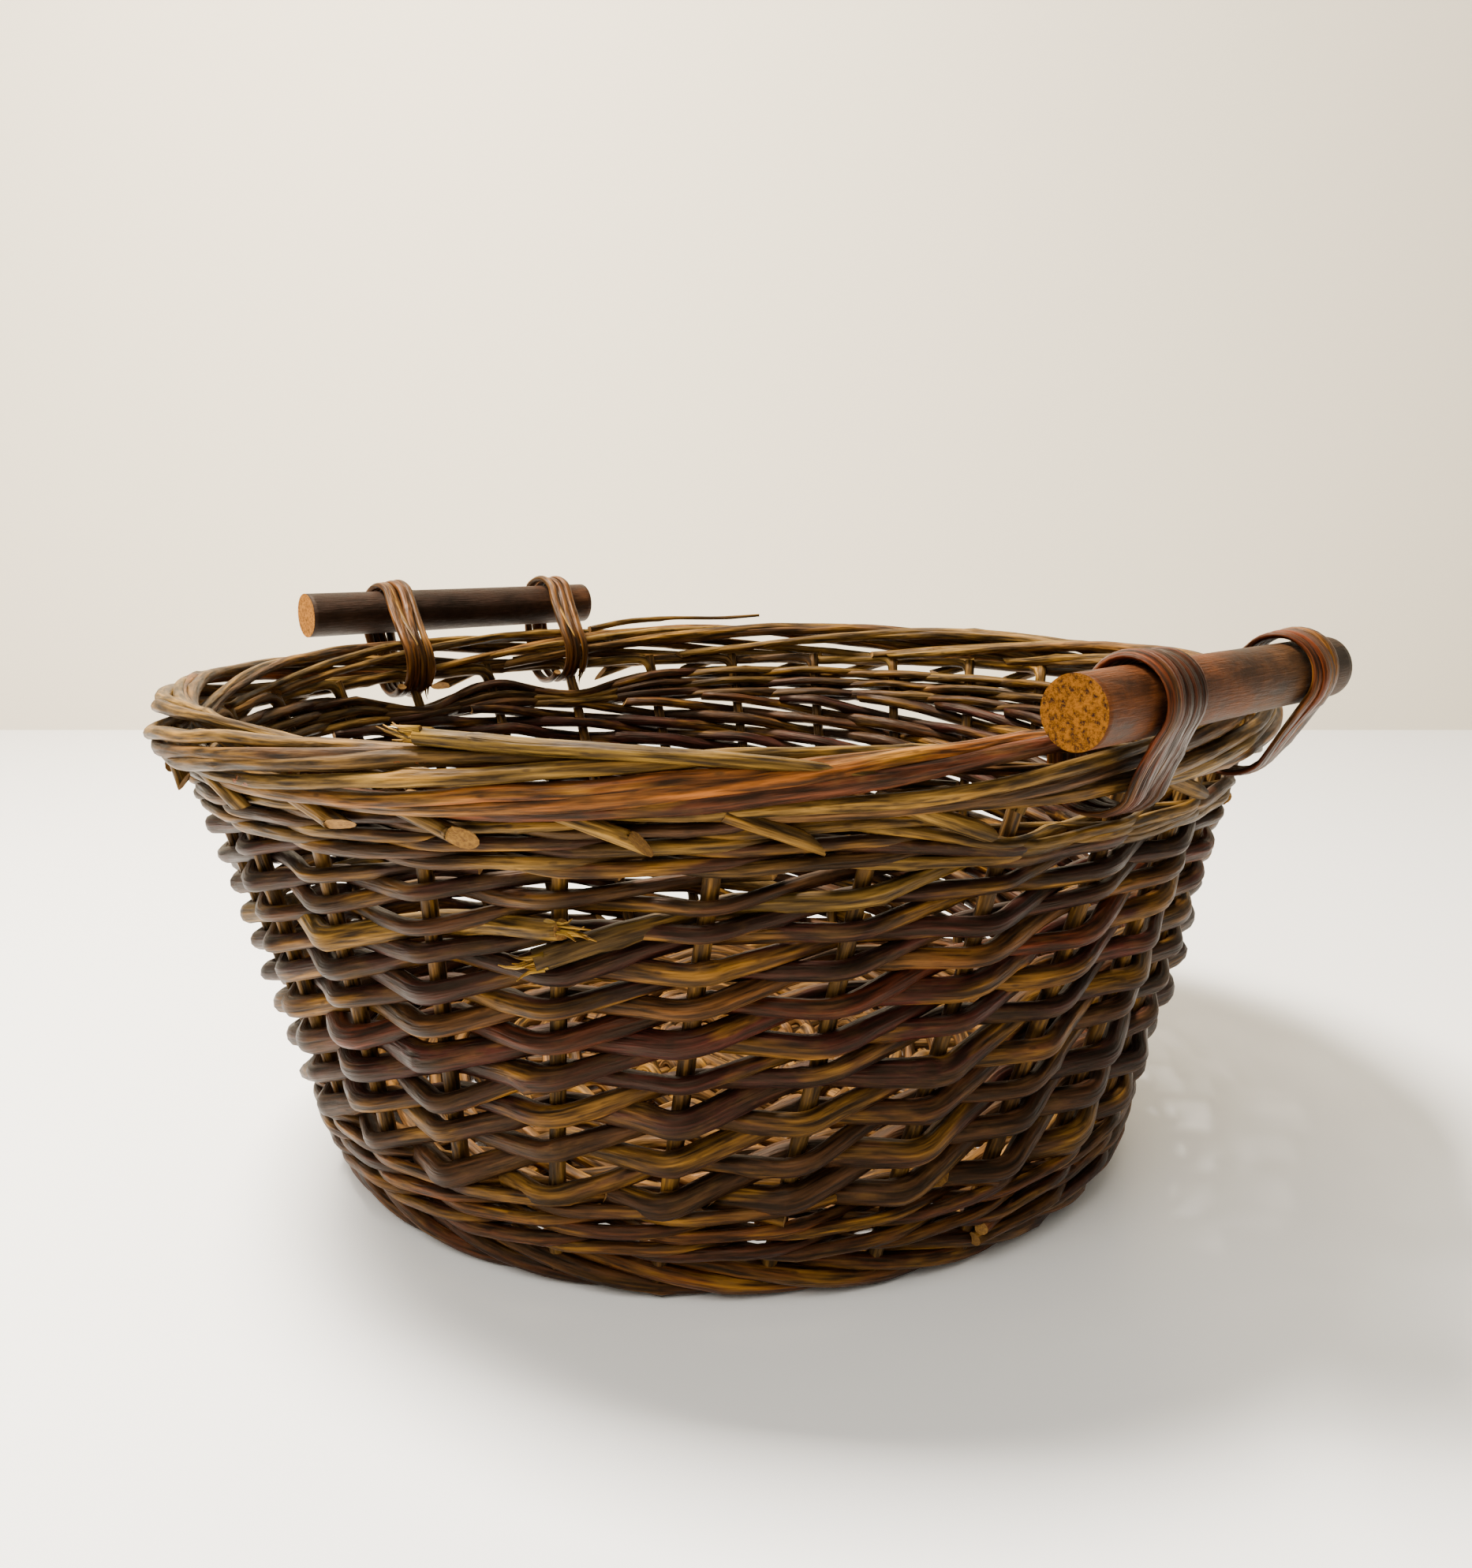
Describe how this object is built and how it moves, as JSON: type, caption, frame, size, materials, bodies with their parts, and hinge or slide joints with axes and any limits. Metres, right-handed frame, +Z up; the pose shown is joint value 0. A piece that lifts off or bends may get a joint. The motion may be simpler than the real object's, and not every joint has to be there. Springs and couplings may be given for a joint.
{
  "type": "round willow basket",
  "caption": "Round oval stake-and-strand willow basket with sloping sides, a rolled border and two stick handles lashed along opposite sides of the rim.",
  "frame": {"origin": "on the table under the middle of the basket", "axes": "+Z up, handles at +X and -X, with their sticks along Y"},
  "size_m": [0.545, 0.537, 0.2567],
  "materials": {
    "border_willow": "natural bark, dull",
    "foot_willow": "natural bark, dull",
    "stake_willow": "natural bark, dull",
    "base_willow": "natural bark, dull",
    "siding_willow": "natural bark, dull",
    "right_stick_bark": "natural bark, dull",
    "left_stick_bark": "natural bark, dull",
    "lashing_skein": "natural bark, dull"
  },
  "bodies": {
    "basket": {"rolled_border": "border_willow", "foot_border": "foot_willow", "stakes": "stake_willow", "base_cross_sticks": "base_willow", "base_long_sticks": "base_willow", "base_weave_under": "base_willow", "base_weave_over": "base_willow", "upsett_wale_01": "foot_willow", "upsett_wale_02": "foot_willow", "upsett_wale_03": "foot_willow", "top_wale_01": "border_willow", "top_wale_02": "border_willow", "randing_rod_01": "siding_willow", "randing_rod_02": "siding_willow", "randing_rod_03": "siding_willow", "randing_rod_04": "siding_willow", "randing_rod_05": "siding_willow", "randing_rod_06": "siding_willow", "randing_rod_07": "siding_willow", "randing_rod_08": "siding_willow", "randing_rod_09": "siding_willow", "randing_rod_10": "siding_willow", "randing_rod_11": "siding_willow", "randing_rod_12": "siding_willow", "randing_rod_13": "siding_willow", "randing_rod_14": "siding_willow", "randing_rod_15": "siding_willow", "randing_rod_16": "siding_willow", "randing_rod_17": "siding_willow", "randing_rod_18": "siding_willow", "randing_rod_19": "siding_willow", "randing_rod_20": "siding_willow", "randing_rod_21": "siding_willow", "randing_rod_22": "siding_willow", "randing_rod_23": "siding_willow", "randing_rod_24": "siding_willow", "randing_rod_25": "siding_willow", "randing_rod_26": "siding_willow", "randing_rod_27": "siding_willow", "randing_rod_28": "siding_willow"},
    "right_handle": {"right_lashing_front": "lashing_skein", "right_lashing_back": "lashing_skein"},
    "right_stick": {"right_handle_stick": "right_stick_bark"},
    "left_handle": {"left_lashing_front": "lashing_skein", "left_lashing_back": "lashing_skein"},
    "left_stick": {"left_handle_stick": "left_stick_bark"}
  },
  "joints": [
    {"name": "right_handle_rock", "type": "hinge", "parent": "basket", "child": "right_handle", "pos_m": [0.22921, 0.02368, 0.2137], "axis": [0.0883, -0.9961, 0], "range_deg": [-15, 30]},
    {"name": "right_stick_turn", "type": "hinge", "parent": "right_handle", "child": "right_stick", "pos_m": [0.2525, 0.014, 0.2382], "axis": [-0.0698, 0.9976, 0], "continuous": true},
    {"name": "left_handle_rock", "type": "hinge", "parent": "basket", "child": "left_handle", "pos_m": [-0.23023, 0.00303, 0.2137], "axis": [0.0113, 0.9999, 0], "range_deg": [-15, 30]},
    {"name": "left_stick_turn", "type": "hinge", "parent": "left_handle", "child": "left_stick", "pos_m": [-0.2537, -0.006, 0.2407], "axis": [0.0506, 0.9987, 0], "continuous": true}
  ]
}
